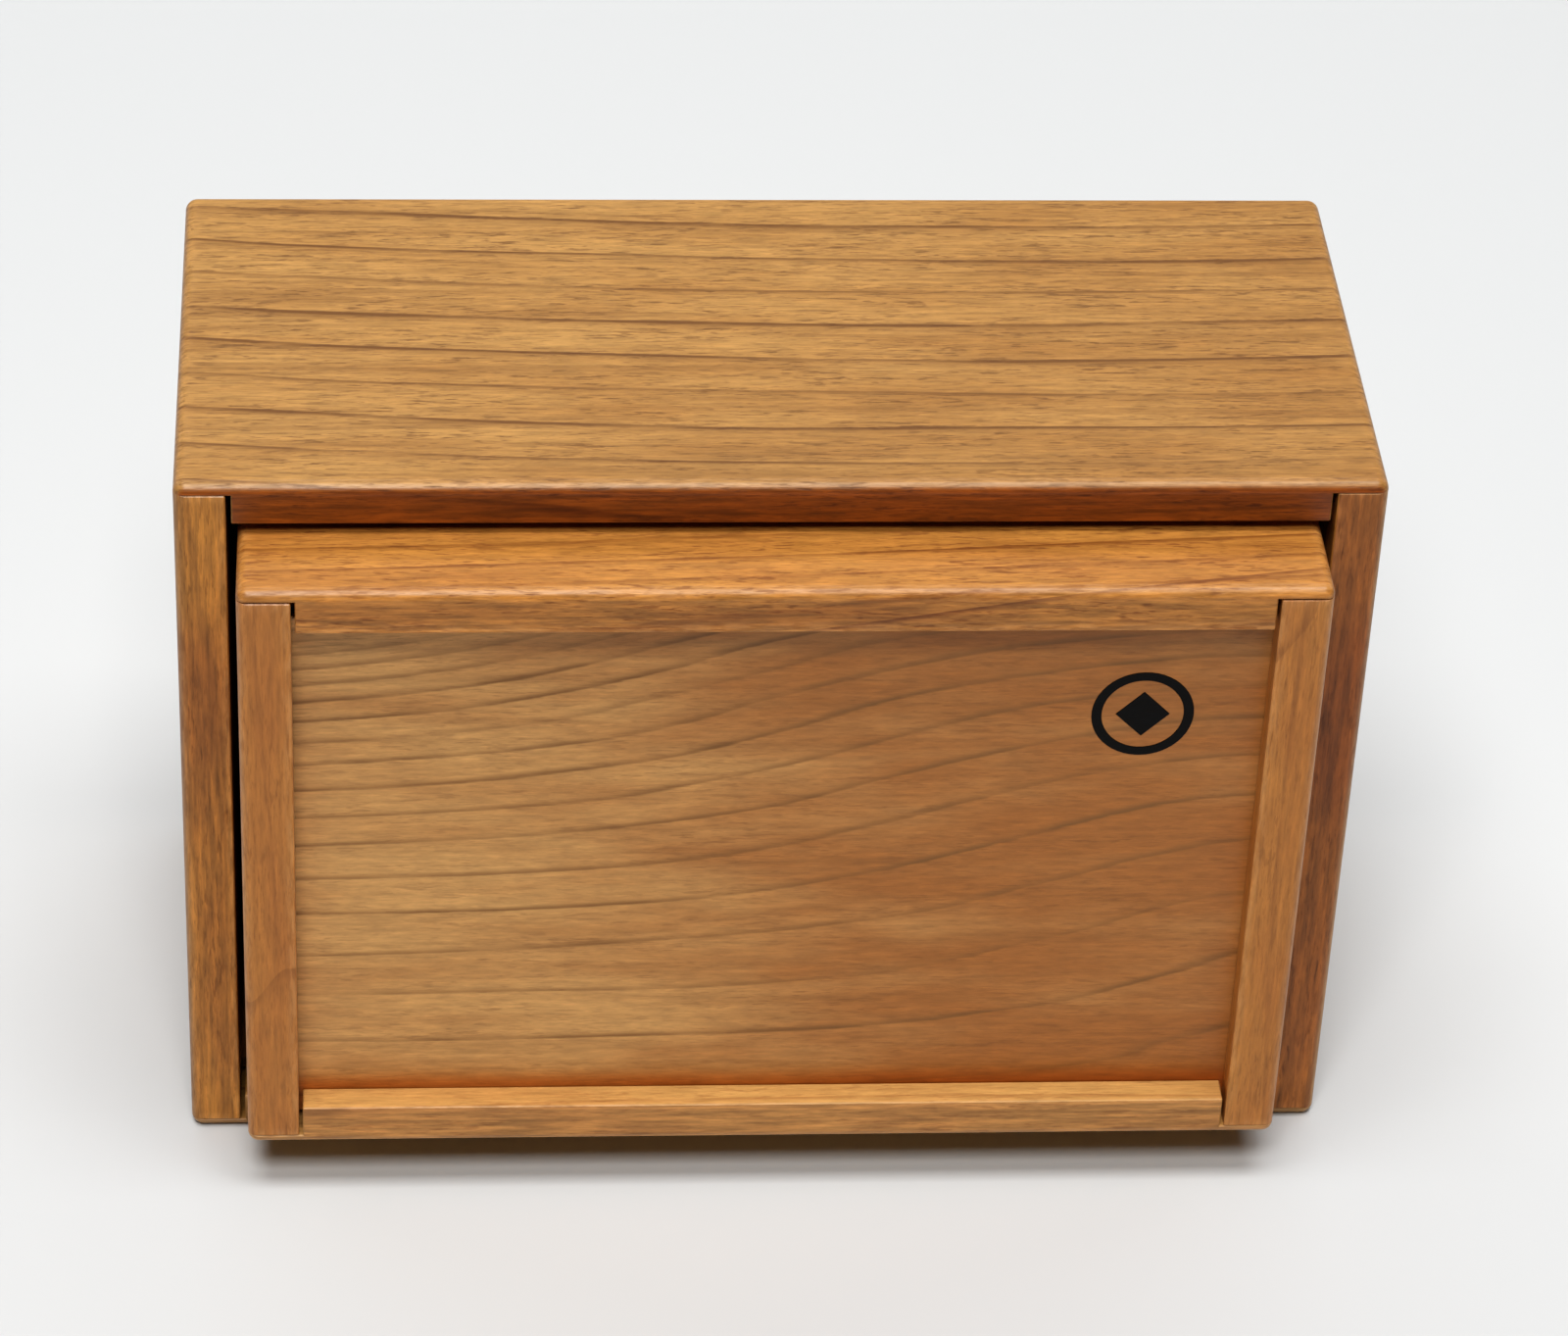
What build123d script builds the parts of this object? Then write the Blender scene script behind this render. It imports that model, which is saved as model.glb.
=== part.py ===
"""Wooden puzzle box: an inner box with a sliding lid, in a case with a shifting back panel.

Millimetres. The origin is the centre of the case's underside, +X to the right, +Y to the back,
+Z up. At rest the inner box stands part of the way out of the case, with every lock undone.
"""
from build123d import *
import os

# Case, overall
case_width = 145.0
case_depth = 65.0
case_height = 100.0
case_edge_radius = 1.5

# Case boards. A top or bottom board has a thin flange over the end of each side board,
# and a shoulder that stops short of the side's inner face.
case_side_thickness = 6.2
case_board_thickness = 5.4
case_flange_thickness = 1.4
case_shoulder_gap = 0.65

# Back panel of the case, which shifts sideways in its grooves
back_panel_thickness = 4.0
back_panel_recess = 1.5
back_panel_side_groove = 4.4
back_panel_board_groove = 2.2
back_panel_travel = 3.0

# Inner box
drawer_side_clearance = 1.3
drawer_top_clearance = 1.5
drawer_back_clearance = 1.0
drawer_protrusion = 12.0
drawer_edge_radius = 1.35
drawer_side_thickness = 6.4
drawer_board_thickness = 5.9
drawer_flange_thickness = 1.4
drawer_shoulder_gap = 0.5
drawer_back_thickness = 6.2

# Front panel, which lifts in its grooves
panel_thickness = 4.0
panel_recess = 3.8
panel_side_groove = 2.6
panel_sill_groove = 3.8
panel_lift = 2.5

# Lid and the keys that hold it down
lid_lock_groove = 2.8
lid_key_length = 10.0
lid_key_height = 2.0
lid_key_reach = 2.0
lid_key_setback = 0.8
lid_key_rise = 1.0
lid_groove_end_wood = 1.5

# Runners, stop pins and loose tongues
runner_width = 5.0
runner_height = 2.1
runner_setback = 9.0
stop_pin_diameter = 3.0
stop_pin_depth = 3.5
stop_pin_engagement = 2.8
stop_slot_front_wood = 2.0
stop_slot_back_wood = 3.25
stop_pin_spacing = 80.0
tongue_thickness = 1.6
tongue_reach = 2.0
tongue_setback = 9.0

# Hook on the back panel, and the catch plate in the inner box's back
hook_height = 10.0
hook_stem_width = 5.0
hook_head_reach = 2.5
hook_head_thickness = 2.0
catch_plate_thickness = 1.5
catch_plate_margin = 4.0
catch_pocket_floor = 1.4

# Magnets that hold the lid shut
magnet_diameter = 4.0
magnet_thickness = 1.8
magnet_spacing = 60.0

# Mark on the front panel: a ring with a diamond in it
mark_diameter = 12.4
mark_line = 1.15
mark_diamond = 4.6
mark_inset_x = 14.8
mark_inset_z = 15.2
mark_thickness = 0.4
mark_proud = 0.06

# Clearances and small edges
slide_clearance = 0.15
groove_end_clearance = 0.3
hook_clearance = 0.4
round_clearance = 0.05
edge_ease = 0.15

# Places of the case
front = -case_depth / 2
back = case_depth / 2
case_inner_x = case_width / 2 - case_side_thickness
case_floor_z = case_board_thickness
case_ceiling_z = case_height - case_board_thickness
back_panel_y = back - back_panel_recess - back_panel_thickness

# Places of the inner box, at rest
drawer_half_width = case_inner_x - drawer_side_clearance
drawer_inner_x = drawer_half_width - drawer_side_thickness
drawer_bottom_z = case_floor_z + runner_height + slide_clearance
drawer_top_z = case_ceiling_z - drawer_top_clearance
drawer_depth = back_panel_y - drawer_back_clearance - front
drawer_front_y = front - drawer_protrusion
drawer_back_y = drawer_front_y + drawer_depth
drawer_floor_z = drawer_bottom_z + drawer_board_thickness
lid_under_z = drawer_top_z - drawer_board_thickness
side_top_z = drawer_top_z - drawer_flange_thickness - slide_clearance
side_bottom_z = drawer_bottom_z + drawer_flange_thickness
panel_front_y = drawer_front_y + panel_recess
panel_back_y = panel_front_y + panel_thickness
drawer_back_inner_y = drawer_back_y - drawer_back_thickness

# Travel of the inner box: its slots run from behind the panel's groove to near its back
stop_slot_front = panel_recess + panel_thickness + slide_clearance + stop_slot_front_wood
stop_pin_y = front + stop_slot_front + slide_clearance + stop_pin_diameter / 2
stop_slot_half_width = stop_pin_diameter / 2 + slide_clearance
drawer_travel = drawer_depth - stop_slot_front - 2 * stop_slot_half_width - stop_slot_back_wood

# Lid travel: its keys run from the back of the inner box to just behind the panel's groove
lid_key_back_y = drawer_back_y - lid_key_setback
lid_key_front_y = lid_key_back_y - lid_key_length
lid_groove_front_y = panel_back_y + slide_clearance + lid_groove_end_wood
lid_travel = lid_key_front_y - slide_clearance - lid_groove_front_y
lid_key_z = lid_under_z + lid_key_rise


def block(x, y, z, ease=0.0):
    """A box between two values on each axis, with its edges eased by a small chamfer."""
    size = (x[1] - x[0], y[1] - y[0], z[1] - z[0])
    centre = ((x[0] + x[1]) / 2, (y[0] + y[1]) / 2, (z[0] + z[1]) / 2)
    solid = Box(*size)
    if ease > 0:
        solid = chamfer(solid.edges(), ease)
    return Pos(*centre) * solid


def rod(diameter, x, y, z):
    """An upright round rod between two heights."""
    return Pos(x, y, (z[0] + z[1]) / 2) * Cylinder(diameter / 2, z[1] - z[0])


def rounded_envelope(x, y, z, radius):
    """The outer shape of a whole box, with every outer edge rounded."""
    return Pos((x[0] + x[1]) / 2, (y[0] + y[1]) / 2, (z[0] + z[1]) / 2) * fillet(
        Box(x[1] - x[0], y[1] - y[0], z[1] - z[0]).edges(), radius
    )


case_envelope = rounded_envelope(
    (-case_width / 2, case_width / 2), (front, back), (0, case_height), case_edge_radius
)
drawer_envelope = rounded_envelope(
    (-drawer_half_width, drawer_half_width),
    (drawer_front_y, drawer_back_y),
    (drawer_bottom_z, drawer_top_z),
    drawer_edge_radius,
)


# ---- Loose tongues: one strip across each shoulder gap, hidden behind the front edge ----


def tongue_box(side, inner_x, gap, y, middle_z, ease=0.0):
    """The strip that joins a board's shoulder to the side board on one side (-1 or 1)."""
    ends = sorted((side * (inner_x - gap - tongue_reach), side * (inner_x + tongue_reach)))
    z = (middle_z - tongue_thickness / 2, middle_z + tongue_thickness / 2)
    return block(ends, y, z, ease)


case_tongue_y = (front + tongue_setback, back_panel_y - tongue_setback / 2)
case_shoulder_height = case_board_thickness - case_flange_thickness
case_tongue_z = {
    "bottom": case_floor_z - case_shoulder_height / 2,
    "top": case_ceiling_z + case_shoulder_height / 2,
}
drawer_tongue_y = (panel_back_y + tongue_setback / 2, drawer_back_y - tongue_setback)
drawer_tongue_z = drawer_floor_z - (drawer_board_thickness - drawer_flange_thickness) / 2


def case_tongue(side, level):
    return tongue_box(side, case_inner_x, case_shoulder_gap, case_tongue_y, case_tongue_z[level])


def drawer_tongue(side):
    return tongue_box(side, drawer_inner_x, drawer_shoulder_gap, drawer_tongue_y, drawer_tongue_z)


# ---- Case ----


def back_panel_slot():
    """The room that the back panel needs in the four boards around it, over its travel."""
    half = case_inner_x + back_panel_side_groove
    y = (back_panel_y - slide_clearance, back_panel_y + back_panel_thickness + slide_clearance)
    z = (case_floor_z - back_panel_board_groove, case_ceiling_z + back_panel_board_groove)
    return block((-half, half), y, z)


def stop_pin_places():
    """The stop pins' centres on the case's floor."""
    return [(-stop_pin_spacing / 2, stop_pin_y), (stop_pin_spacing / 2, stop_pin_y)]


def case_board(level):
    """The top or bottom board, with its two flanges, tongue slots and back groove."""
    half = case_width / 2
    shoulder = case_inner_x - case_shoulder_gap
    if level == "top":
        flange_z = (case_height - case_flange_thickness, case_height)
        board_z = (case_ceiling_z, case_height)
    else:
        flange_z = (0, case_flange_thickness)
        board_z = (0, case_floor_z)
    board = block((-half, half), (front, back), flange_z, edge_ease)
    board += block((-shoulder, shoulder), (front, back), board_z, edge_ease)
    board = board & case_envelope
    board -= back_panel_slot()
    for side in (-1, 1):
        board -= case_tongue(side, level)
    return board


def case_bottom():
    board = case_board("bottom")
    for x, y in stop_pin_places():
        hole = (case_floor_z - stop_pin_depth, case_floor_z)
        board -= rod(stop_pin_diameter, x, y, hole)
    return board


def case_side(side):
    x = sorted((side * case_inner_x, side * case_width / 2))
    z = (case_flange_thickness, case_height - case_flange_thickness)
    board = block(x, (front, back), z, edge_ease) & case_envelope
    board -= back_panel_slot()
    for level in ("bottom", "top"):
        board -= case_tongue(side, level)
    return board


def case_tongues(level):
    return [case_tongue(side, level) for side in (-1, 1)]


def runner(side):
    """A strip on the case's floor, under one side board of the inner box."""
    outer = side * (drawer_half_width - drawer_edge_radius)
    inner = outer - side * runner_width
    y = (front + runner_setback, back_panel_y - slide_clearance)
    return block(sorted((outer, inner)), y, (case_floor_z, case_floor_z + runner_height), edge_ease)


def stop_pins():
    z = (case_floor_z - stop_pin_depth, drawer_bottom_z + stop_pin_engagement)
    return [rod(stop_pin_diameter, x, y, z) for x, y in stop_pin_places()]


# ---- Back panel and its hook ----

back_panel_reach = case_inner_x + back_panel_side_groove - groove_end_clearance
hook_middle_z = (drawer_floor_z + lid_under_z) / 2
drawer_closed_back_y = drawer_back_y + drawer_protrusion
hook_head_back_y = drawer_closed_back_y - catch_plate_thickness - hook_clearance
hook_z = (hook_middle_z - hook_height / 2, hook_middle_z + hook_height / 2)


def back_panel():
    """The panel at rest lies at the left end of its travel."""
    x = (-back_panel_reach, back_panel_reach - back_panel_travel)
    y = (back_panel_y, back_panel_y + back_panel_thickness)
    lift = back_panel_board_groove - groove_end_clearance
    return block(x, y, (case_floor_z - lift, case_ceiling_z + lift), edge_ease)


def lock_hook():
    """An L-shaped block on the back panel, with its head reaching to the right."""
    stem_x = (-hook_stem_width / 2, hook_stem_width / 2)
    head_x = (stem_x[0], stem_x[1] + hook_head_reach)
    head_y = (hook_head_back_y - hook_head_thickness, hook_head_back_y)
    stem = block(stem_x, (head_y[0], back_panel_y), hook_z)
    return stem + block(head_x, head_y, hook_z)


# ---- Inner box ----

catch_opening_x = (
    -hook_stem_width / 2 - hook_clearance,
    hook_stem_width / 2 + max(back_panel_travel, hook_head_reach) + hook_clearance,
)
catch_pocket_x = (
    catch_opening_x[0],
    hook_stem_width / 2 + hook_head_reach + back_panel_travel + hook_clearance,
)
catch_z = (hook_z[0] - hook_clearance, hook_z[1] + hook_clearance)
catch_plate_x = (catch_opening_x[0] - catch_plate_margin, catch_pocket_x[1] + catch_plate_margin)
catch_plate_z = (catch_z[0] - catch_plate_margin, catch_z[1] + catch_plate_margin)
catch_plate_y = (drawer_back_y - catch_plate_thickness, drawer_back_y)


def panel_slot():
    """The room that the front panel needs in the boards around it, over its travel."""
    half = drawer_inner_x + panel_side_groove
    y = (panel_front_y - slide_clearance, panel_back_y + slide_clearance)
    return block((-half, half), y, (drawer_floor_z - panel_sill_groove, drawer_top_z))


def lid_key_groove(side):
    """The stopped groove in a side board, where the lid's key runs."""
    x = sorted((side * drawer_inner_x, side * (drawer_inner_x + lid_key_reach + groove_end_clearance)))
    y = (lid_groove_front_y, lid_key_back_y + slide_clearance)
    z = (lid_key_z - slide_clearance, lid_key_z + lid_key_height + slide_clearance)
    return block(x, y, z)


def drawer_side(side):
    x = sorted((side * drawer_inner_x, side * drawer_half_width))
    y = (drawer_front_y, drawer_back_y)
    board = block(x, y, (side_bottom_z, side_top_z), edge_ease) & drawer_envelope
    board -= panel_slot()
    board -= lid_key_groove(side)
    board -= drawer_tongue(side)
    return board


def stop_pin_slot(x, y):
    """The groove in the inner box's underside, as long as the inner box's travel."""
    half = stop_slot_half_width
    closed_y = y - drawer_protrusion
    z = (drawer_bottom_z, drawer_bottom_z + stop_pin_engagement + groove_end_clearance)
    return block((x - half, x + half), (closed_y - half, closed_y + drawer_travel + half), z)


def drawer_bottom():
    """The bottom board, with flanges under the side boards and a groove for the panel."""
    shoulder = drawer_inner_x - drawer_shoulder_gap
    y = (drawer_front_y, drawer_back_y)
    flange_z = (drawer_bottom_z, side_bottom_z)
    board = block((-drawer_half_width, drawer_half_width), y, flange_z, edge_ease)
    board += block((-shoulder, shoulder), y, (drawer_bottom_z, drawer_floor_z), edge_ease)
    board = board & drawer_envelope
    board -= panel_slot()
    for x, pin_y in stop_pin_places():
        board -= stop_pin_slot(x, pin_y)
    for side in (-1, 1):
        board -= drawer_tongue(side)
    return board


def drawer_tongues():
    return [drawer_tongue(side) for side in (-1, 1)]


def magnet_places():
    """The centres of the magnets, over the middle of the back board."""
    y = drawer_back_y - drawer_back_thickness / 2
    return [(-magnet_spacing / 2, y), (magnet_spacing / 2, y)]


def magnet_stack(z, clearance=0.0):
    return [rod(magnet_diameter + 2 * clearance, x, y, z) for x, y in magnet_places()]


back_board_top_z = lid_under_z - slide_clearance
drawer_magnet_z = (back_board_top_z - magnet_thickness, back_board_top_z)
lid_magnet_z = (lid_under_z, lid_under_z + magnet_thickness)


def drawer_back():
    """The back board between the side boards, with a pocket for the hook's head."""
    x = (-drawer_inner_x, drawer_inner_x)
    y = (drawer_back_inner_y, drawer_back_y)
    board = block(x, y, (drawer_floor_z, back_board_top_z), edge_ease)
    board -= block(catch_plate_x, catch_plate_y, catch_plate_z)
    pocket_y = (drawer_back_inner_y + catch_pocket_floor, drawer_back_y)
    board -= block(catch_pocket_x, pocket_y, catch_z)
    for magnet in magnet_stack(drawer_magnet_z, round_clearance):
        board -= magnet
    return board


def catch_plate():
    """The plate over the pocket. The hook's head slides behind its right edge."""
    plate = block(catch_plate_x, catch_plate_y, catch_plate_z)
    return plate - block(catch_opening_x, catch_plate_y, catch_z)


# ---- Lid ----


def lock_groove(shift):
    """A groove across the lid's underside, where the raised panel holds the lid."""
    half = drawer_half_width
    y = (panel_front_y - groove_end_clearance + shift, panel_back_y + groove_end_clearance + shift)
    return block((-half, half), y, (lid_under_z, lid_under_z + lid_lock_groove))


def lid():
    """The inner box's top board. It is held by the panel both when shut and when open."""
    shoulder = drawer_inner_x - drawer_shoulder_gap
    y = (drawer_front_y, drawer_back_y)
    flange_z = (drawer_top_z - drawer_flange_thickness, drawer_top_z)
    board = block((-drawer_half_width, drawer_half_width), y, flange_z, edge_ease)
    board += block((-shoulder, shoulder), y, (lid_under_z, drawer_top_z), edge_ease)
    board = board & drawer_envelope
    for shift in (0, lid_travel):
        board -= lock_groove(shift)
    for magnet in magnet_stack(lid_magnet_z, round_clearance):
        board -= magnet
    return board


def lid_key(side):
    """The key on one end of the lid, in the side board's groove."""
    root = drawer_inner_x - drawer_shoulder_gap
    x = sorted((side * root, side * (drawer_inner_x + lid_key_reach)))
    return block(x, (lid_key_front_y, lid_key_back_y), (lid_key_z, lid_key_z + lid_key_height))


# ---- Front panel and its mark ----


def mark_shape(y, clearance=0.0):
    """The ring and the diamond, between two values of Y."""
    x = drawer_inner_x - mark_inset_x
    z = lid_under_z - mark_inset_z
    outer = mark_diameter / 2 + clearance
    inner = mark_diameter / 2 - mark_line - clearance
    depth = y[1] - y[0]
    ring = Cylinder(outer, depth) - Cylinder(inner, depth)
    diamond = Rot(0, 0, 45) * Box(mark_diamond + 2 * clearance, mark_diamond + 2 * clearance, depth)
    place = Pos(x, (y[0] + y[1]) / 2, z) * Rot(90, 0, 0)
    return [place * ring, place * diamond]


def front_panel():
    reach = drawer_inner_x + panel_side_groove - groove_end_clearance
    z = (drawer_floor_z - panel_sill_groove + slide_clearance, lid_under_z - groove_end_clearance)
    board = block((-reach, reach), (panel_front_y, panel_back_y), z, edge_ease)
    for shape in mark_shape((panel_front_y, panel_front_y + mark_thickness), round_clearance):
        board -= shape
    return board


def maker_mark():
    return mark_shape((panel_front_y - mark_proud, panel_front_y + mark_thickness))


# ---- Nodes ----

nodes = {
    "case_top": case_board("top"),
    "case_bottom": case_bottom(),
    "case_left_side": case_side(-1),
    "case_right_side": case_side(1),
    "case_top_tongues": case_tongues("top"),
    "case_bottom_tongues": case_tongues("bottom"),
    "left_runner": runner(-1),
    "right_runner": runner(1),
    "stop_pins": stop_pins(),
    "case_back_panel": back_panel(),
    "lock_hook": lock_hook(),
    "drawer_left_side": drawer_side(-1),
    "drawer_right_side": drawer_side(1),
    "drawer_bottom": drawer_bottom(),
    "drawer_bottom_tongues": drawer_tongues(),
    "drawer_back": drawer_back(),
    "catch_plate": catch_plate(),
    "drawer_magnets": magnet_stack(drawer_magnet_z),
    "lid": lid(),
    "lid_left_key": lid_key(-1),
    "lid_right_key": lid_key(1),
    "lid_magnets": magnet_stack(lid_magnet_z),
    "front_panel": front_panel(),
    "maker_mark": maker_mark(),
}

os.makedirs("parts", exist_ok=True)
for name, shape in nodes.items():
    solids = shape if isinstance(shape, list) else [shape]
    body = Compound(children=[solid for piece in solids for solid in piece.solids()])
    export_step(body, f"parts/{name}.step")

print("inner box travel", round(drawer_travel, 3), "of which closing", round(drawer_protrusion, 3))
print("lid travel", round(lid_travel, 3))
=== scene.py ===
import math

import bpy
from mathutils import Matrix, Vector


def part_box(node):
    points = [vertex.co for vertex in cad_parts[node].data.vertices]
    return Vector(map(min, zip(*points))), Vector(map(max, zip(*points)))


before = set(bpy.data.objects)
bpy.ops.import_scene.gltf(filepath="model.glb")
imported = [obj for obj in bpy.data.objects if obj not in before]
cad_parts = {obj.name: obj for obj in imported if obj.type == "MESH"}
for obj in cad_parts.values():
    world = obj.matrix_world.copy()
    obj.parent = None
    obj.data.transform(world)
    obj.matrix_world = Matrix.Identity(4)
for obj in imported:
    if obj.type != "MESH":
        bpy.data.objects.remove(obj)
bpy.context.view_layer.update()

MM = 0.001


# ---------------------------------------------------------------- node helpers


class Graph:
    """A short way to write a node tree."""

    def __init__(self, tree):
        self.tree = tree

    def add(self, kind, **settings):
        node = self.tree.nodes.new(kind)
        for key, value in settings.items():
            setattr(node, key, value)
        return node

    def join(self, source, socket):
        """Sets a socket to a plain value, or links an output to it."""
        if isinstance(source, (int, float, tuple, list)):
            socket.default_value = source
        else:
            self.tree.links.new(source, socket)

    def math(self, operation, a, b=0.0, clamp=False):
        node = self.add("ShaderNodeMath", operation=operation, use_clamp=clamp)
        self.join(a, node.inputs[0])
        self.join(b, node.inputs[1])
        return node.outputs[0]

    def plus(self, a, b):
        return self.math("ADD", a, b)

    def minus(self, a, b):
        return self.math("SUBTRACT", a, b)

    def times(self, a, b):
        return self.math("MULTIPLY", a, b)

    def over(self, a, b):
        return self.math("DIVIDE", a, b)

    def step(self, value, low, high, to_low=0.0, to_high=1.0):
        """A smooth step from to_low to to_high, as value goes from low to high."""
        node = self.add("ShaderNodeMapRange", interpolation_type="SMOOTHSTEP")
        for given, name in (
            (value, "Value"),
            (low, "From Min"),
            (high, "From Max"),
            (to_low, "To Min"),
            (to_high, "To Max"),
        ):
            self.join(given, node.inputs[name])
        return node.outputs["Result"]

    def split(self, vector):
        node = self.add("ShaderNodeSeparateXYZ")
        self.join(vector, node.inputs[0])
        return node.outputs[0], node.outputs[1], node.outputs[2]

    def vector(self, x, y, z):
        node = self.add("ShaderNodeCombineXYZ")
        for value, socket in zip((x, y, z), node.inputs):
            self.join(value, socket)
        return node.outputs[0]

    def scaled(self, vector, x, y, z):
        node = self.add("ShaderNodeVectorMath", operation="MULTIPLY")
        self.join(vector, node.inputs[0])
        node.inputs[1].default_value = (x, y, z)
        return node.outputs[0]

    def shifted(self, vector, offset):
        node = self.add("ShaderNodeVectorMath", operation="ADD")
        self.join(vector, node.inputs[0])
        self.join(offset, node.inputs[1])
        return node.outputs[0]

    def noise(self, vector, detail=2.0, roughness=0.5):
        node = self.add("ShaderNodeTexNoise")
        self.join(vector, node.inputs["Vector"])
        node.inputs["Scale"].default_value = 1.0
        node.inputs["Detail"].default_value = detail
        node.inputs["Roughness"].default_value = roughness
        return node.outputs[0]

    def grained(self, point, along, across, detail=2.0, roughness=0.5):
        """Noise drawn out along the grain, with its scales along and across it, per mm."""
        return self.noise(self.scaled(point, along, across, across), detail, roughness)

    def swing(self, noise, size):
        """A noise moved to swing about zero, and scaled."""
        return self.times(self.minus(noise, 0.5), size)

    def mix(self, factor, a, b, blend="MIX"):
        node = self.add("ShaderNodeMix", data_type="RGBA", blend_type=blend, clamp_factor=True)
        self.join(factor, node.inputs[0])
        self.join(a, node.inputs[6])
        self.join(b, node.inputs[7])
        return node.outputs[2]

    def tinted(self, tint, by):
        """One colour times another."""
        return self.mix(1.0, tint, by, blend="MULTIPLY")

    def grey(self, value):
        node = self.add("ShaderNodeCombineColor")
        for socket in node.inputs:
            self.join(value, socket)
        return node.outputs[0]

    def bump(self, height, strength, distance):
        node = self.add("ShaderNodeBump")
        node.inputs["Strength"].default_value = strength
        node.inputs["Distance"].default_value = distance
        self.join(height, node.inputs["Height"])
        return node.outputs[0]


def colour(red, green, blue):
    """An sRGB colour, 0 to 255, as the linear values that a shader takes."""
    linear = []
    for value in (red, green, blue):
        part = value / 255
        linear.append(part / 12.92 if part <= 0.04045 else ((part + 0.055) / 1.055) ** 2.4)
    return (*linear, 1.0)


def new_material(name):
    material = bpy.data.materials.new(name)
    material.use_nodes = True
    return material, Graph(material.node_tree), material.node_tree.nodes["Principled BSDF"]


# ---------------------------------------------------------------- wood


def new_group(name, inputs, outputs):
    group = bpy.data.node_groups.new(name, "ShaderNodeTree")
    for label, kind in inputs:
        group.interface.new_socket(label, in_out="INPUT", socket_type=kind)
    for label, kind in outputs:
        group.interface.new_socket(label, in_out="OUTPUT", socket_type=kind)
    graph = Graph(group)
    entry = graph.add("NodeGroupInput")
    leave = graph.add("NodeGroupOutput")
    return graph, entry.outputs, leave.inputs


def ring_lines(graph, given, point, fibre, cloud):
    """How dark the rings and other streaks make the wood, and the thin ring lines alone.

    Within a ring the wood darkens slowly, then ends in a thin line, broken up along the grain.
    """
    tone = graph.grained(point, 0.011, 0.12)
    wander = graph.swing(tone, 0.4)
    shiver = graph.over(graph.swing(fibre, 0.35), given["Width"])
    phase = graph.plus(graph.plus(given["Rings"], wander), shiver)
    inside = graph.math("FRACT", phase)
    ring = graph.math("FLOOR", phase)
    before = graph.times(graph.minus(1.0, inside), given["Width"])
    chance = graph.add("ShaderNodeTexWhiteNoise", noise_dimensions="1D")
    graph.join(ring, chance.inputs["W"])
    strength = graph.step(chance.outputs["Value"], 0.0, 1.0, 0.55, 1.0)

    start = graph.step(before, 1.0, 0.25)
    stop = graph.step(before, 0.0, 0.28)
    breaks = graph.grained(point, 0.06, 0.3, detail=3.0)
    line = graph.times(graph.times(start, stop), graph.step(breaks, 0.32, 0.62, 0.25, 1.0))
    line = graph.times(line, strength)
    slow = graph.times(graph.step(before, given["Soft"], 0.2), graph.times(stop, 0.27))
    slow = graph.times(slow, strength)

    # Fainter lines between the rings, the board's own figure if it has one, and broad dark bands
    faint = graph.math("FRACT", graph.plus(graph.times(phase, 3.7), graph.times(fibre, 0.8)))
    faint = graph.times(graph.times(graph.math("POWER", faint, 6.0), cloud), 0.30)
    apart = given["Figure"]
    figure = graph.times(graph.step(apart, -2.6, -0.2), graph.step(apart, 0.0, 0.25, 1.0, 0.0))
    figure = graph.times(graph.math("POWER", figure, 1.6), graph.step(breaks, 0.3, 0.6, 0.55, 1.0))
    bands = graph.grained(point, 0.014, 0.42, detail=3.0, roughness=0.55)
    bands = graph.step(bands, 0.50, 0.72, 0.0, 0.30)
    dark = graph.plus(graph.plus(line, slow), graph.plus(faint, graph.plus(figure, bands)))
    return graph.math("MULTIPLY", dark, given["Line"], clamp=True), line


def pore_dashes(graph, given, point):
    """Pores: short dark dashes along the grain, in crowds."""
    dash = graph.grained(point, 0.36, 2.7)
    dash_fine = graph.grained(point, 0.7, 5.5, detail=1.0, roughness=0.4)
    crowd = graph.step(graph.grained(point, 0.06, 0.4), 0.36, 0.64, 0.4, 1.0)
    dashes = graph.plus(
        graph.times(graph.step(dash, 0.54, 0.66), 0.85),
        graph.times(graph.step(dash_fine, 0.55, 0.70), 0.5),
    )
    return graph.math("MULTIPLY", graph.times(dashes, crowd), given["Pores"], clamp=True)


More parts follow.
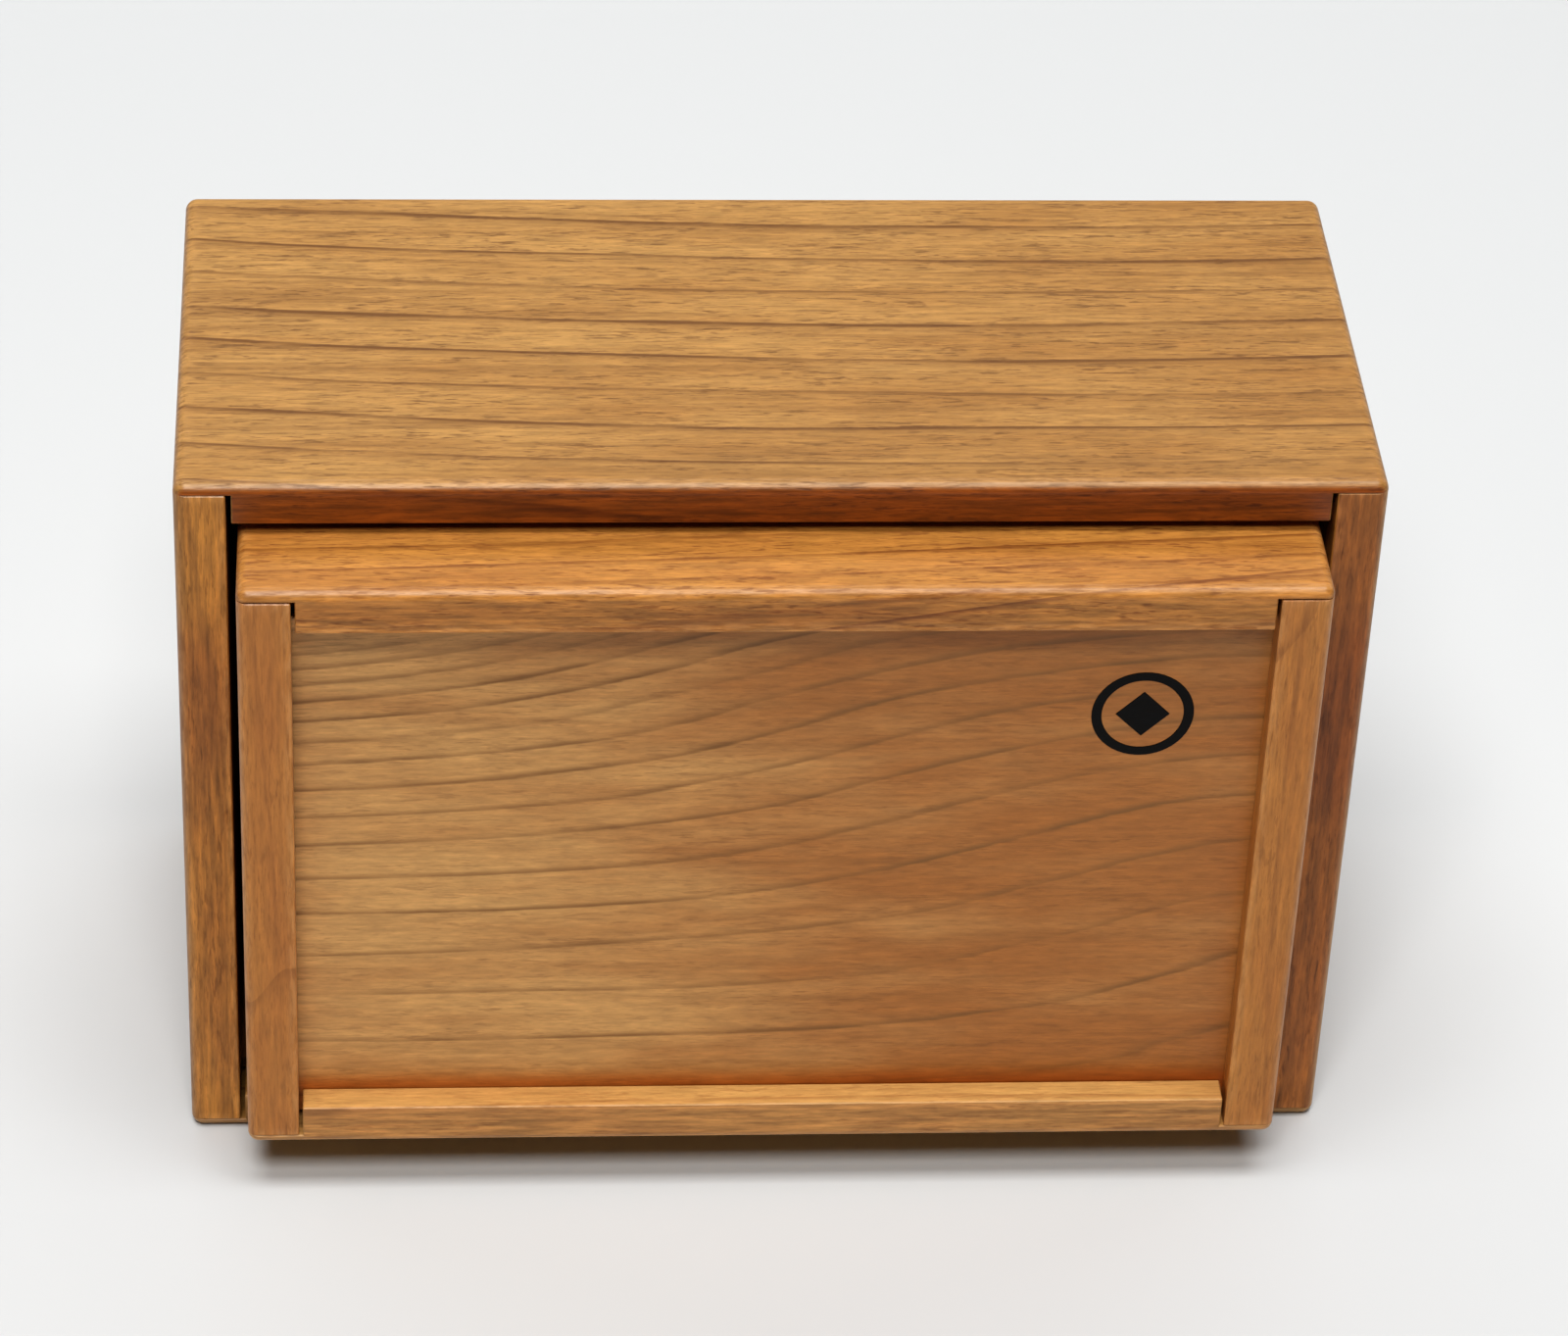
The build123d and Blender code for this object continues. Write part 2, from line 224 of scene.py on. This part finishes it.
def wood_group():
    """Solid wood, with its point in mm and X along the grain.

    Rings grows by 1 at each ring line, Width is a ring's width in mm, Soft is how far before a
    line the wood begins to darken, and Figure is the distance past a dark line of the board's own.
    Line, Pores, Mottle and Grain are strengths, Shade goes from the light tint to the middle one,
    and Ends and Edge are 1 on end grain and on edges painted lighter, by wear and a painted
    highlight.
    """
    number, vector, tint = "NodeSocketFloat", "NodeSocketVector", "NodeSocketColor"
    graph, given, result = new_group(
        "solid_wood",
        [
            ("Point", vector),
            ("Rings", number),
            ("Width", number),
            ("Soft", number),
            ("Line", number),
            ("Pores", number),
            ("Mottle", number),
            ("Grain", number),
            ("Shade", number),
            ("Figure", number),
            ("Ends", number),
            ("Edge", number),
            ("Light", tint),
            ("Mid", tint),
            ("Dark", tint),
            ("Pore", tint),
            ("Worn_and_sheen", tint),
        ],
        [("Color", tint), ("Roughness", number), ("Height", number)],
    )
    point = given["Point"]
    fibre = graph.grained(point, 0.15, 1.8, detail=5.0, roughness=0.66)
    cloud = graph.grained(point, 0.035, 0.16)
    flame = graph.grained(point, 0.30, 1.1, detail=3.0, roughness=0.6)
    dark, line = ring_lines(graph, given, point, fibre, cloud)
    pores = pore_dashes(graph, given, point)

    # The ground colour, then what lies over it
    patch = graph.plus(given["Shade"], graph.swing(cloud, 1.1))
    base = graph.mix(graph.step(patch, 0.0, 1.0), given["Light"], given["Mid"])
    streak = graph.plus(1.0, graph.swing(fibre, given["Grain"]))
    base = graph.tinted(base, graph.grey(streak))
    shimmer = graph.plus(1.0, graph.swing(flame, given["Mottle"]))
    base = graph.tinted(base, graph.grey(shimmer))
    base = graph.mix(dark, base, given["Dark"])
    base = graph.mix(graph.times(pores, 0.75), base, given["Pore"])

    # End grain drinks more oil, so it is darker, and shows the rings as a fine dotted figure
    dots = graph.grained(point, 1.0, 3.2)
    end_tint = graph.mix(graph.step(dots, 0.35, 0.7), given["Dark"], given["Mid"])
    base = graph.mix(graph.times(given["Ends"], 0.62), base, end_tint)

    # Edges are painted lighter, unevenly: partly wear, partly a painted highlight on their
    # rounding
    worn_and_sheen_noise = graph.grained(point, 0.30, 1.5, detail=3.0, roughness=0.6)
    worn_and_sheen = graph.times(given["Edge"], graph.step(worn_and_sheen_noise, 0.40, 0.60, 0.1, 1.0))
    pale = graph.mix(0.35, graph.tinted(base, graph.grey(1.12)), given["Worn_and_sheen"])
    graph.join(graph.mix(graph.times(worn_and_sheen, 0.85), base, pale), result["Color"])

    # Pores are dull, and the edges painted lighter a little shiny
    rough = graph.plus(0.42, graph.swing(fibre, 0.18))
    rough = graph.plus(rough, graph.times(pores, 0.2))
    rough = graph.minus(rough, graph.times(worn_and_sheen, 0.07))
    graph.join(rough, result["Roughness"])

    height = graph.minus(graph.times(fibre, 0.020), graph.times(pores, 0.022))
    height = graph.minus(height, graph.times(line, 0.010))
    graph.join(height, result["Height"])
    return graph.tree


WOOD = wood_group()


def edge_mask(graph, place, low, high, width):
    """1 at the edges of a box between two corners, in mm, falling to 0 over a width."""
    reach = []
    for value, start, end in zip(graph.split(place), low, high):
        near = graph.minus(value, start)
        far = graph.minus(end, value)
        reach.append(graph.math("MAXIMUM", graph.math("MINIMUM", near, far), 0.0))
    first, second, third = reach
    smaller = graph.math("MINIMUM", first, second)
    larger = graph.math("MAXIMUM", first, second)
    middle = graph.math("MAXIMUM", smaller, graph.math("MINIMUM", larger, third))
    return graph.step(middle, 0.0, width, 1.0, 0.0)


# The frame's axes in a board's own order, the one along its grain first
GRAIN = {"X": (0, 1, 2), "Y": (1, 2, 0), "Z": (2, 0, 1), "XZ": (0, 2, 1)}

# How strong a board's figure is, unless the board says otherwise
PLAIN = {"Soft": 1.6, "Line": 0.8, "Pores": 0.5, "Mottle": 0.35, "Grain": 0.9}

# A board with a face tint of its own swings between these parts of it, in streaks
STREAK_RANGE = (0.74, 1.28)

# The wood just above the sill is painted a little redder, over this height in mm: painted light
# bounced up off the sill
SILL_BOUNCE_TINT = (0.92, 0.62, 0.36, 1.0)
SILL_BOUNCE_HEIGHT = 3.5

# One seed's step through the wood in mm, and a distance at which no dark line shows
SEED_STEP = (37.0, 11.0, 5.0)
FAR = 100.0


def wood(
    name, node, grain, rings, tints, seed, edge=1.6, face=None, shade=None, figure=None, foot=None,
    numbers=None,
):
    """The material of one board, cut from solid wood with its grain along one axis.

    edge is how far in mm its edges are painted lighter, by wear and a painted highlight, face a
    tint for its front side alone, and foot the height in mm that the painted bounce light from the
    sill rises from. shade and figure are functions of the point, and numbers replace those in
    PLAIN.
    """
    material, graph, shader = new_material(name)
    coordinates = graph.add("ShaderNodeTexCoord").outputs["Object"]
    place = graph.scaled(coordinates, 1 / MM, 1 / MM, 1 / MM)
    axes = graph.split(place)
    order = GRAIN[grain]
    point = graph.vector(*(axes[i] for i in order))
    low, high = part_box(node)

    surface = graph.add("ShaderNodeGroup", node_tree=WOOD)
    given = surface.inputs
    graph.join(graph.shifted(point, [seed * part for part in SEED_STEP]), given["Point"])
    phase, ring_width = rings(graph, point)
    graph.join(phase, given["Rings"])
    graph.join(ring_width, given["Width"])
    graph.join(shade(graph, point) if shade else 0.5, given["Shade"])
    graph.join(figure(graph, point) if figure else FAR, given["Figure"])
    for label, value in {**PLAIN, **(numbers or {})}.items():
        given[label].default_value = value
    for label, value in zip(("Light", "Mid", "Dark", "Pore", "Worn_and_sheen"), (*tints, WORN_AND_SHEEN)):
        given[label].default_value = value
    normal = graph.split(graph.add("ShaderNodeNewGeometry").outputs["True Normal"])
    ends = graph.step(graph.math("ABSOLUTE", normal[order[0]]), 0.55, 0.9)
    graph.join(ends, given["Ends"])
    corners = [[value / MM for value in corner] for corner in (low, high)]
    graph.join(edge_mask(graph, place, *corners, edge), given["Edge"])

    tint = surface.outputs["Color"]
    if face:
        front = graph.step(normal[1], -0.6, -0.95)
        streak = graph.grained(point, 0.10, 1.5, detail=4.0, roughness=0.6)
        deep, bright = ([value * part for value in face] + [1.0] for part in STREAK_RANGE)
        board = graph.mix(graph.step(streak, 0.3, 0.7), deep, bright)
        tint = graph.mix(front, tint, graph.tinted(tint, board))
    # The panel just above the sill is painted redder: painted bounce light off the sill
    if foot:
        sill_bounce = graph.tinted(tint, SILL_BOUNCE_TINT)
        tint = graph.mix(graph.step(axes[2], foot + SILL_BOUNCE_HEIGHT, foot), tint, sill_bounce)
    graph.join(tint, shader.inputs["Base Color"])
    graph.join(surface.outputs["Roughness"], shader.inputs["Roughness"])
    graph.join(graph.bump(surface.outputs["Height"], 0.7, MM), shader.inputs["Normal"])
    shader.inputs["Specular IOR Level"].default_value = 0.35
    shader.inputs["Coat Weight"].default_value = 0.12
    shader.inputs["Coat Roughness"].default_value = 0.3
    return material


def finish_node(node, material):
    """Gives a CAD node its material, in every slot that it has."""
    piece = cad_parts[node]
    piece.data.materials.clear()
    piece.data.materials.append(material)


# ---------------------------------------------------------------- ring figures


def straight_rings(across, depth, width, bow=0.0, bow_at=0.0, start=0.0):
    """Rings of a given width in mm, tilted through the board and bowed along the grain."""

    def build(graph, point):
        along, p, q = graph.split(point)
        distance = graph.plus(graph.times(p, across), graph.times(q, depth))
        off = graph.minus(along, bow_at)
        distance = graph.plus(distance, graph.times(graph.times(off, off), bow))
        return graph.over(graph.minus(distance, start), width), width

    return build


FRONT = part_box("front_panel")[0][1] / MM
SILL_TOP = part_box("drawer_bottom")[1][2] / MM
LID_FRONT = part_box("lid")[0][1] / MM


def swept_rings(graph, point):
    """The front panel's figure.

    Its lines run level from the left, then sweep up, the top ones first, and droop again at the
    right end. Places are in mm.
    """
    along, height, depth = graph.split(point)
    middle_at, middle_height, lean = 13.0, 64.0, 1.2
    sweep, half_lift = 46.0, 11.0
    middle = graph.plus(middle_at, graph.times(graph.minus(middle_height, height), lean))
    bend = graph.math("TANH", graph.over(graph.minus(along, middle), sweep))
    lift = graph.times(graph.plus(bend, 1.0), half_lift)
    droop_from, droop = 49.0, 0.0036
    past = graph.math("MAXIMUM", graph.minus(along, droop_from), 0.0)
    lift = graph.minus(lift, graph.times(graph.times(past, past), droop))
    slant = 0.6
    level = graph.plus(graph.minus(height, lift), graph.times(depth, slant))

    # The rings widen down the panel
    top, width, widening, start = 80.0, 1.7, 0.105, 0.67
    below = graph.math("MAXIMUM", graph.minus(top + FRONT * slant, level), -10.0)
    ring_width = graph.plus(width, graph.times(below, widening))
    phase = graph.math("LOGARITHM", graph.over(ring_width, width), math.e)
    return graph.minus(graph.over(phase, widening), start), ring_width


def rising_flame(graph, point):
    """A dark line that climbs across the foot of the left stile."""
    height, along, depth = graph.split(point)
    return graph.minus(height, graph.step(along, -64.8, -59.6, 30.6, 36.2))


def leaning_flame(graph, point):
    """A dark line that leans in from the outer edge, at the top of the right stile."""
    height, along, depth = graph.split(point)
    return graph.minus(along, graph.step(height, 79.0, 91.0, 57.6, 62.8))


def lid_flame(graph, point):
    """A dark line that climbs the lid's lip to the right, and goes on over its edge."""
    along, depth, height = graph.split(point)
    middle_height, climb, narrowing = 87.0, 0.167, 2.4
    behind = graph.minus(depth, LID_FRONT)
    line = graph.plus(middle_height, graph.times(along, climb))
    return graph.times(graph.plus(graph.minus(height, line), behind), narrowing)


def panel_shade(graph, point):
    """The front panel is tan on the left and turns brown towards its upper right."""
    along, height, depth = graph.split(point)
    right = graph.step(graph.plus(along, graph.times(height, 0.25)), -40.0, 50.0, 0.18, 0.85)
    # Near its foot the panel is painted browner as well: painted bounce light off the sill
    return graph.plus(right, graph.step(height, 26.0, 16.0, 0.0, 0.2))


def top_shade(graph, point):
    """The case's top is paler at the back and on the left."""
    along, depth, height = graph.split(point)
    return graph.step(graph.minus(graph.times(along, 0.5), depth), -50.0, 50.0, 0.25, 0.55)


def end_shade(graph, point):
    """The case ends are lighter near the top, and darkest at about two thirds of their height."""
    height, depth, along = graph.split(point)
    low = graph.step(height, 40.0, 66.0, 0.35, 0.95)
    return graph.minus(low, graph.step(height, 70.0, 86.0, 0.0, 0.65))


# ---------------------------------------------------------------- the wooden pieces


# Each wood's light, middle and dark tint, and its pores
CASE = (colour(177, 134, 76), colour(154, 108, 53), colour(114, 75, 34), colour(96, 60, 28))
END = (colour(172, 122, 60), colour(150, 98, 48), colour(102, 64, 29), colour(84, 48, 20))
LID = (colour(190, 134, 64), colour(170, 112, 52), colour(126, 74, 28), colour(112, 60, 22))
DRAWER = (colour(190, 132, 66), colour(170, 110, 52), colour(126, 76, 32), colour(110, 62, 24))
SILL = (colour(206, 162, 98), colour(194, 144, 84), colour(140, 88, 44), colour(136, 84, 42))
STILE = (colour(194, 132, 62), colour(176, 110, 50), colour(118, 66, 26), colour(116, 66, 28))
PANEL = (colour(213, 162, 99), colour(175, 112, 52), colour(136, 92, 44), colour(122, 78, 40))
KEY = (colour(140, 92, 50), colour(118, 74, 38), colour(70, 40, 20), colour(50, 28, 14))
PIN = (colour(204, 176, 120), colour(184, 152, 98), colour(140, 106, 60), colour(110, 80, 42))
# The pale colour that edges are painted towards: partly wear, partly a painted highlight
WORN_AND_SHEEN = colour(216, 164, 106)

BOARDS = {
    "case_top": {
        "grain": "X",
        "rings": straight_rings(1.0, 0.5, 7.55, bow=-0.00045, bow_at=30.0, start=22.3),
        "tints": CASE,
        # Its front face, the lip, is painted darker and redder: painted shade as under the top's
        # overhanging edge, warmed by painted light bounced off the drawer
        "face": (0.62, 0.31, 0.10),
        "edge": 2.4,
        "shade": top_shade,
        "numbers": {"Soft": 2.6, "Line": 1.15, "Pores": 0.9, "Grain": 1.3},
    },
    "case_bottom": {
        "grain": "X",
        "rings": straight_rings(1.0, 0.4, 6.4, bow=0.0002, bow_at=-20.0),
        "tints": CASE,
    },
    "case_left_side": {
        "grain": "Z",
        "rings": straight_rings(0.5, 1.0, 6.0, bow=0.0004, bow_at=40.0),
        "tints": END,
        "face": (1.28, 1.18, 0.88),
        "shade": end_shade,
        "numbers": {"Line": 0.5, "Pores": 0.65, "Mottle": 0.6},
    },
    "case_right_side": {
        "grain": "Z",
        "rings": straight_rings(0.5, 1.0, 6.6, bow=0.0005, bow_at=60.0),
        "tints": END,
        "face": (0.90, 0.68, 0.50),
        "shade": end_shade,
        "numbers": {"Line": 0.5, "Pores": 0.65, "Mottle": 0.6},
    },
    "case_back_panel": {
        "grain": "XZ",
        "rings": straight_rings(1.0, 0.6, 6.0, bow=0.0008, bow_at=-10.0),
        "tints": CASE,
    },
    "drawer_left_side": {
        "grain": "Z",
        "rings": straight_rings(1.0, 0.45, 5.0, bow=0.0006, bow_at=22.0),
        "tints": STILE,
        "figure": rising_flame,
        "numbers": {"Line": 0.35},
    },
    "drawer_right_side": {
        "grain": "Z",
        "rings": straight_rings(-1.0, 0.45, 5.4, bow=0.0006, bow_at=70.0),
        "tints": STILE,
        "figure": leaning_flame,
        "numbers": {"Line": 0.35},
    },
    "drawer_bottom": {
        "grain": "X",
        "rings": straight_rings(1.0, 0.5, 6.0, bow=0.0003, bow_at=10.0),
        "tints": SILL,
        "face": (0.89, 0.76, 0.66),
        "numbers": {"Line": 0.4},
    },
    "drawer_back": {
        "grain": "XZ",
        "rings": straight_rings(1.0, 0.5, 6.2, bow=0.0006, bow_at=20.0),
        "tints": DRAWER,
    },
    "lid": {
        "grain": "X",
        "rings": straight_rings(1.0, 0.35, 4.2, bow=-0.000177, bow_at=-150.0, start=-12.3),
        "tints": LID,
        "face": (1.02, 0.98, 0.95),
        "edge": 2.2,
        "figure": lid_flame,
        "numbers": {"Pores": 0.95, "Mottle": 0.5, "Grain": 1.3},
    },
    "front_panel": {
        "grain": "XZ",
        "rings": swept_rings,
        "tints": PANEL,
        "shade": panel_shade,
        "foot": SILL_TOP,
        "numbers": {"Soft": 1.2, "Line": 0.72, "Pores": 0.4, "Mottle": 0.55, "Grain": 0.6},
    },
}
SMALL = {
    "case_top_tongues": "Y",
    "case_bottom_tongues": "Y",
    "drawer_bottom_tongues": "Y",
    "left_runner": "Y",
    "right_runner": "Y",
    "lock_hook": "Y",
    "catch_plate": "X",
    "lid_left_key": "Y",
    "lid_right_key": "Y",
}

# A seed of its own for each piece keeps any two from showing the same figure
BOARD_SEED, SMALL_SEED, PIN_SEED = 1.0, 20.0, 40.0

for number, (node, board) in enumerate(BOARDS.items()):
    finish_node(node, wood(f"{node}_wood", node, seed=BOARD_SEED + number, **board))

small_rings = straight_rings(0.9, 0.5, 3.0)
for number, (node, grain) in enumerate(SMALL.items()):
    seed = SMALL_SEED + number
    finish_node(node, wood(f"{node}_wood", node, grain, small_rings, KEY, seed, edge=0.5))

pin_rings = straight_rings(1.0, 0.6, 1.2)
finish_node("stop_pins", wood("stop_pin_bamboo", "stop_pins", "Z", pin_rings, PIN, PIN_SEED))


# ---------------------------------------------------------------- the mark and the magnets


def ink():
    """Burnt-in black, slightly uneven, on the wood's fibres."""
    material, graph, shader = new_material("mark_black")
    place = graph.add("ShaderNodeTexCoord").outputs["Object"]
    fibre = graph.noise(graph.scaled(place, 300.0, 2500.0, 2500.0), detail=3.0)
    tint = graph.mix(graph.step(fibre, 0.35, 0.75), colour(8, 7, 7), colour(20, 16, 14))
    graph.join(tint, shader.inputs["Base Color"])
    shader.inputs["Specular IOR Level"].default_value = 0.2
    graph.join(graph.step(fibre, 0.2, 0.8, 0.6, 0.8), shader.inputs["Roughness"])
    graph.join(graph.bump(fibre, 0.5, 0.03 * MM), shader.inputs["Normal"])
    return material


def plated():
    """Nickel plate on the magnets, with fine scuffs."""
    material, graph, shader = new_material("magnet_nickel")
    shader.inputs["Metallic"].default_value = 1.0
    place = graph.add("ShaderNodeTexCoord").outputs["Object"]
    scuff = graph.noise(graph.scaled(place, 900.0, 2600.0, 900.0), detail=4.0)
    tint = graph.mix(scuff, colour(176, 172, 164), colour(214, 210, 202))
    graph.join(tint, shader.inputs["Base Color"])
    graph.join(graph.step(scuff, 0.3, 0.7, 0.22, 0.4), shader.inputs["Roughness"])
    graph.join(graph.bump(scuff, 0.3, 0.02 * MM), shader.inputs["Normal"])
    return material


finish_node("maker_mark", ink())
NICKEL = plated()
for node in ("drawer_magnets", "lid_magnets"):
    finish_node(node, NICKEL)


# ---------------------------------------------------------------- studio


def add_floor():
    """A pale floor that curves up into a backdrop far behind the box."""
    half, front, back, radius, top, steps = 2.2, -2.4, 1.6, 0.9, 2.6, 24
    profile = [(front, 0.0), (back, 0.0)]
    for k in range(1, steps + 1):
        turn = math.pi / 2 * k / steps
        profile.append((back + radius * math.sin(turn), radius * (1 - math.cos(turn))))
    profile.append((back + radius, top))
    points = [(x, y, z) for y, z in profile for x in (-half, half)]
    faces = [(2 * i, 2 * i + 1, 2 * i + 3, 2 * i + 2) for i in range(len(profile) - 1)]
    mesh = bpy.data.meshes.new("studio_floor")
    mesh.from_pydata(points, [], faces)
    mesh.shade_smooth()
    floor = bpy.data.objects.new("studio_floor", mesh)
    bpy.context.scene.collection.objects.link(floor)
    material, graph, shader = new_material("studio_paper")
    graph.join(colour(208, 209, 209), shader.inputs["Base Color"])
    shader.inputs["Roughness"].default_value = 0.75
    shader.inputs["Specular IOR Level"].default_value = 0.25
    mesh.materials.append(material)


def add_light(name, place, aim, size, watts):
    light = bpy.data.lights.new(name, "AREA")
    light.shape = "RECTANGLE"
    light.size, light.size_y = size
    light.energy = watts
    lamp = bpy.data.objects.new(name, light)
    lamp.location = place
    lamp.rotation_euler = (Vector(aim) - Vector(place)).to_track_quat("-Z", "Y").to_euler()
    bpy.context.scene.collection.objects.link(lamp)


def add_world(strength):
    world = bpy.data.worlds.new("studio_world")
    bpy.context.scene.world = world
    world.use_nodes = True
    background = world.node_tree.nodes["Background"]
    background.inputs["Color"].default_value = (0.93, 0.96, 1.0, 1.0)
    background.inputs["Strength"].default_value = strength


def add_camera():
    """A long lens, high in front and a little to the left, held slightly tilted."""
    place = (-0.04773, -0.57955, 0.47974)
    yaw, pitch, roll = (math.radians(angle) for angle in (5.066, 36.521, 2.761))
    sensor_width, focal_length = 36.0, 129.19
    forward = Vector(
        (math.sin(yaw) * math.cos(pitch), math.cos(yaw) * math.cos(pitch), -math.sin(pitch))
    )
    right = Vector((math.cos(yaw), -math.sin(yaw), 0.0))
    up = right.cross(forward)
    tilted_right = math.cos(roll) * right + math.sin(roll) * up
    tilted_up = math.cos(roll) * up - math.sin(roll) * right
    turn = Matrix((tilted_right, tilted_up, -forward)).transposed()
    lens = bpy.data.cameras.new("photo_camera")
    lens.sensor_width = sensor_width
    lens.lens = focal_length
    camera = bpy.data.objects.new("photo_camera", lens)
    camera.matrix_world = Matrix.Translation(place) @ turn.to_4x4()
    bpy.context.scene.collection.objects.link(camera)
    bpy.context.scene.camera = camera


add_floor()
add_world(0.03)
BOX_MIDDLE = (0.0, -0.03, 0.06)
add_light("key_softbox", (-0.12, -0.80, 1.25), BOX_MIDDLE, (0.5, 0.35), 9.5)
add_light("top_softbox", (0.0, -0.24, 1.50), BOX_MIDDLE, (1.1, 0.45), 14.5)
add_light("left_card", (-1.3, 0.9, 0.8), BOX_MIDDLE, (0.8, 0.8), 3.0)
add_light("right_card", (1.3, 0.9, 0.8), BOX_MIDDLE, (0.8, 0.8), 3.0)
add_light("backdrop_light", (0.0, 1.0, 1.4), (0.0, 0.8, 0.0), (1.6, 0.6), 8.0)
add_camera()
bpy.context.scene.view_settings.view_transform = "Standard"
bpy.context.scene.view_settings.look = "Medium High Contrast"
